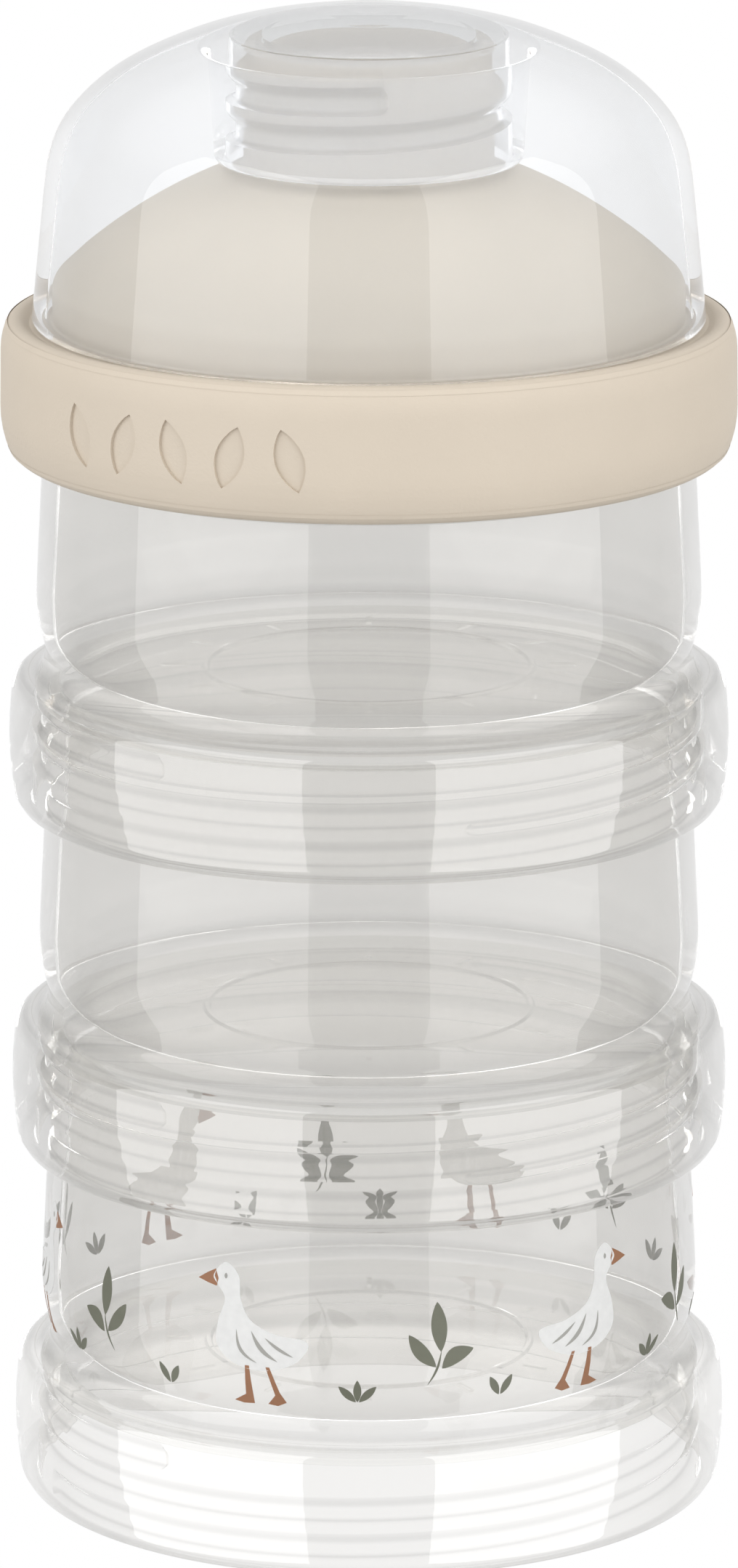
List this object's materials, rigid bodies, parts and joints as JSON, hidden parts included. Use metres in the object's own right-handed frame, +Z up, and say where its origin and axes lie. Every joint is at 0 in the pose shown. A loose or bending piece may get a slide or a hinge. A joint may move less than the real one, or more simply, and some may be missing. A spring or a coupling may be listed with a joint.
{
  "type": "formula dispenser",
  "caption": "Stack of clear screw-together cups for portions of milk powder, with a pouring lid and a clear dome cap over its threaded spout.",
  "frame": {"origin": "centre of the bottom cup's rim, on the plane it stands on", "axes": "+Z up along the axis that every cup, the lid and the cap share and turn about; the front, where the skirt threads end on the left, looks along -Y"},
  "size_m": [0.086, 0.086, 0.1766],
  "materials": {
    "clear_cup": "clear, polished moulding",
    "clear_dome": "clear, polished moulding",
    "beige_lid": "opaque, fine matt texture on the ring",
    "silicone": "translucent, satin"
  },
  "bodies": {
    "bottom_cup": {"bottom_cup": "clear_cup", "bottom_cup_seal": "silicone"},
    "middle_cup_seal": {"middle_cup_seal": "silicone"},
    "middle_cup": {"middle_cup": "clear_cup"},
    "top_cup_seal": {"top_cup_seal": "silicone"},
    "top_cup": {"top_cup": "clear_cup"},
    "lid_seal": {"lid_seal": "silicone"},
    "pouring_lid": {"pouring_lid": "beige_lid"},
    "spout_seal": {"spout_seal": "silicone"},
    "dome_cap": {"dome_cap": "clear_dome"}
  },
  "joints": [
    {"name": "middle_cup_lift", "type": "slide", "parent": "bottom_cup", "child": "middle_cup_seal", "axis": [0, 0, 1], "range_m": [0, 0.0099]},
    {"name": "middle_cup_turn", "type": "hinge", "parent": "middle_cup_seal", "child": "middle_cup", "pos_m": [0, 0, 0.0414], "axis": [0, 0, 1], "range_deg": [0, 810]},
    {"name": "top_cup_lift", "type": "slide", "parent": "middle_cup", "child": "top_cup_seal", "axis": [0, 0, 1], "range_m": [0, 0.0099]},
    {"name": "top_cup_turn", "type": "hinge", "parent": "top_cup_seal", "child": "top_cup", "pos_m": [0, 0, 0.0828], "axis": [0, 0, 1], "range_deg": [0, 810]},
    {"name": "pouring_lid_lift", "type": "slide", "parent": "top_cup", "child": "lid_seal", "axis": [0, 0, 1], "range_m": [0, 0.0099]},
    {"name": "pouring_lid_turn", "type": "hinge", "parent": "lid_seal", "child": "pouring_lid", "pos_m": [0, 0, 0.1242], "axis": [0, 0, 1], "range_deg": [0, 810]},
    {"name": "dome_cap_lift", "type": "slide", "parent": "pouring_lid", "child": "spout_seal", "axis": [0, 0, 1], "range_m": [0, 0.011]},
    {"name": "dome_cap_turn", "type": "hinge", "parent": "spout_seal", "child": "dome_cap", "pos_m": [0, 0, 0.159], "axis": [0, 0, 1], "range_deg": [0, 900]}
  ],
  "couplings": [
    {"joint": "middle_cup_lift", "follows": "middle_cup_turn", "m_per_rad": 0.00070028},
    {"joint": "top_cup_lift", "follows": "top_cup_turn", "m_per_rad": 0.00070028},
    {"joint": "pouring_lid_lift", "follows": "pouring_lid_turn", "m_per_rad": 0.00070028},
    {"joint": "dome_cap_lift", "follows": "dome_cap_turn", "m_per_rad": 0.00070028}
  ]
}
